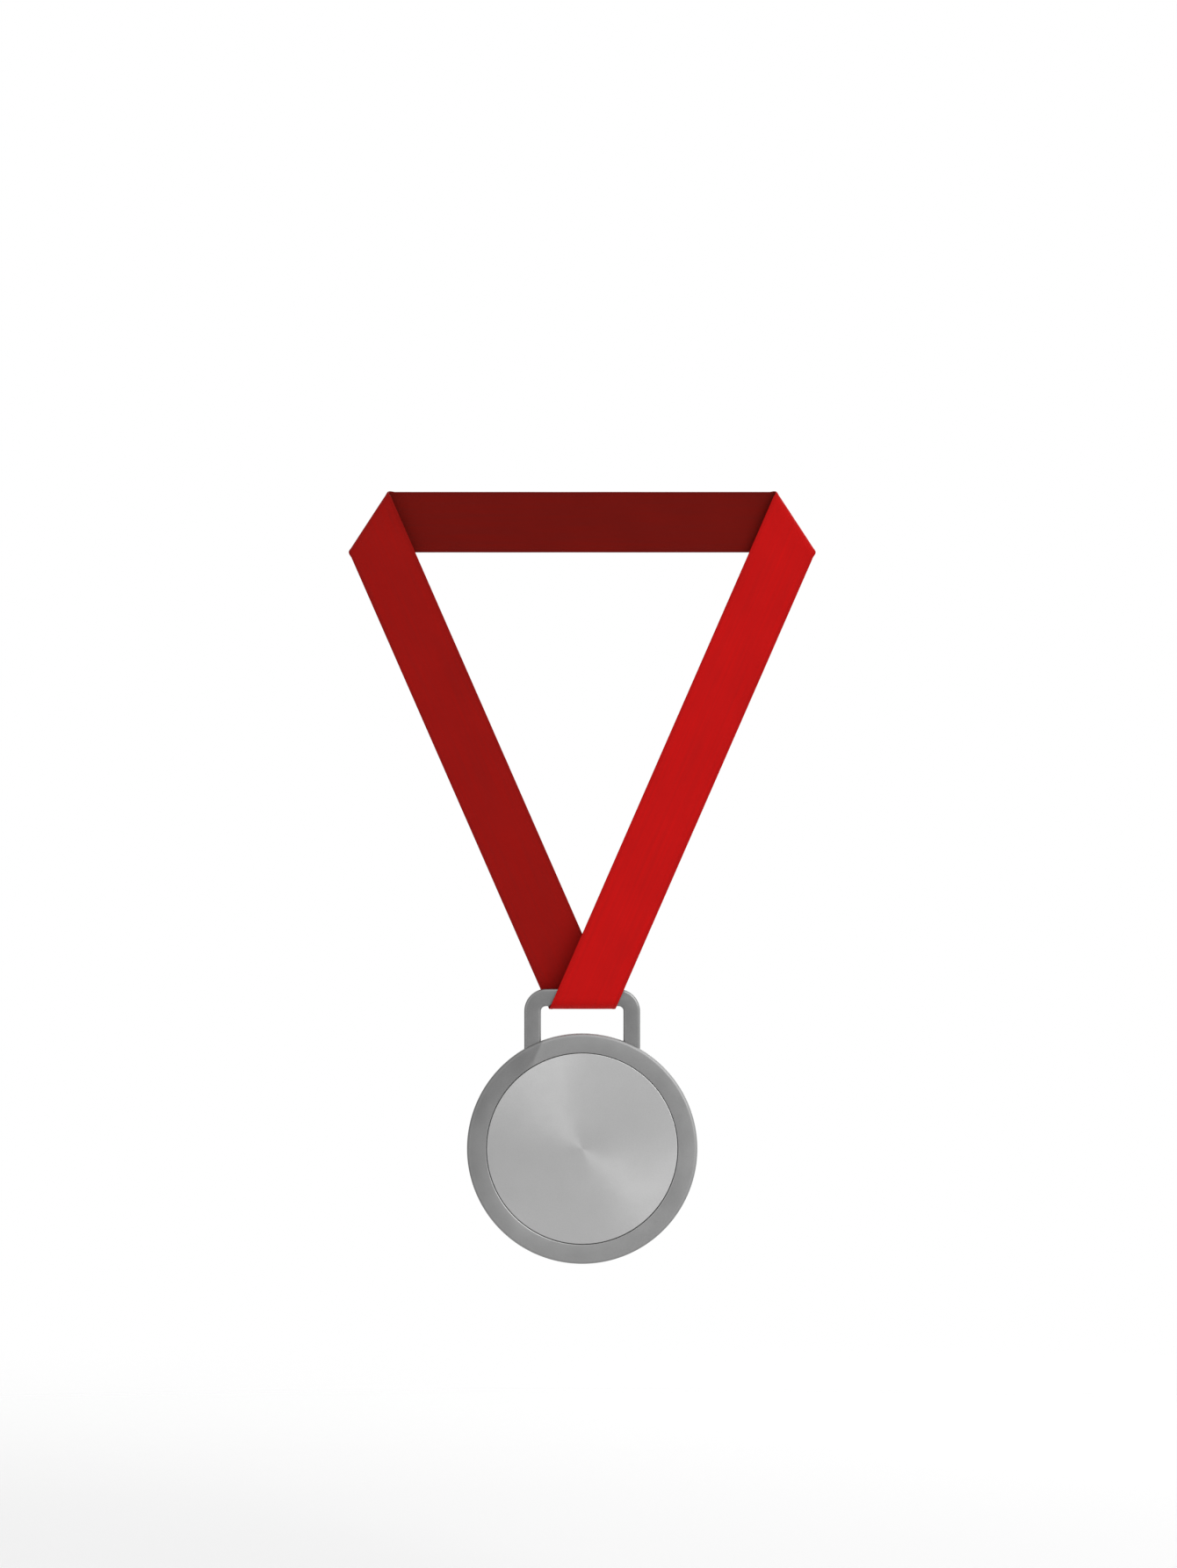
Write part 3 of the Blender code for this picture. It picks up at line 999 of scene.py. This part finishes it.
def makeDisc():
    radius = discHigh.x
    seat = radius - disc["rim"]
    hollowRim = seat + disc["hollow"]
    obj = addRound("castDisc", radius, discLow.y, discHigh.y)
    # front: rim, then down to the seat
    pick(obj, "FACE", lambda f: f.normal.y < -disc["facing"])
    bpy.ops.mesh.inset(thickness=disc["rim"])
    seatDepth = filmBack + disc["filmRoom"] - discLow.y
    bpy.ops.mesh.extrude_region_move(TRANSFORM_OT_translate={"value": (0, seatDepth, 0)})
    # back: flat ring, then a sloped step into the hollow
    pick(obj, "FACE", lambda f: f.normal.y > disc["facing"])
    bpy.ops.mesh.inset(thickness=radius - hollowRim)
    bpy.ops.mesh.extrude_region_move(TRANSFORM_OT_translate={"value": (0, -disc["hollow"], 0)})
    share = seat / hollowRim
    bpy.ops.transform.resize(value=(share, 1, share), center_override=(0, discHigh.y, discMiddle.z))
    # round the outer edges, the seat's lip and the hollow's edge
    roundRings(obj, [(radius, discLow.y), (radius, discHigh.y)], disc["edge"], disc["edgeSteps"])
    roundRings(obj, [(seat, discLow.y)], disc["lip"], disc["lipSteps"])
    roundRings(obj, [(hollowRim, discHigh.y)], disc["hollowEdge"], disc["hollowSteps"])
    bpy.ops.object.mode_set(mode="OBJECT")
    cutSockets(obj)
    obj.data.materials.clear()
    obj.data.materials.append(rimMetal())
    obj.data.materials.append(castMetal())
    for face in obj.data.polygons:
        far = math.hypot(face.center.x, face.center.z - discMiddle.z)
        inHollow = face.normal.y > disc["facing"] and far < hollowRim
        face.material_index = 1 if inHollow else 0
    smooth(obj, disc["smoothAngle"])
    print("disc made:", len(obj.data.polygons), "faces")
    return obj


castDisc = makeDisc()
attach(castDisc, "medal")
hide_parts("medal_disc")


# centre plate: spun sheet with a softened edge, glued in the seat

plate = {"edge": 0.35 * mm, "edgeSteps": 5, "seatRoom": 0.12 * mm, "smoothAngle": 40}


def makePlate():
    radius = discHigh.x - disc["rim"] - plate["seatRoom"]
    obj = addRound("spunPlate", radius, plateLow.y, plateHigh.y)
    roundRings(obj, [(radius, plateLow.y)], plate["edge"], plate["edgeSteps"])
    bpy.ops.object.mode_set(mode="OBJECT")
    smooth(obj, plate["smoothAngle"])
    obj.data.materials.append(plateMetal())
    print("plate made:", len(obj.data.polygons), "faces")
    return obj


spunPlate = makePlate()
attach(spunPlate, "medal")
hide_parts("centre_plate")


# adhesive film stays as it is and gets its finish

glue = {
    "colour": (0.55, 0.5, 0.4),
    "clouds": 120.0,
    "cloudDetail": 3,
    "shade": (0.9, 1.1),
    "rough": (0.4, 0.6),
}


def filmGlue():
    mat, tree, shader = newMaterial("filmGlue")
    clouds = noise(tree, objectPlace(tree), glue["clouds"], glue["cloudDetail"])
    shade = spread(tree, clouds, noiseSpan, *glue["shade"])
    tree.links.new(tint(tree, (*glue["colour"], 1), shade), shader.inputs["Base Color"])
    tree.links.new(spread(tree, clouds, noiseSpan, *glue["rough"]), shader.inputs["Roughness"])
    return mat


film = frame["nodes"]["adhesive_film"]
film.data.materials.clear()
film.data.materials.append(filmGlue())
print("finishes made")
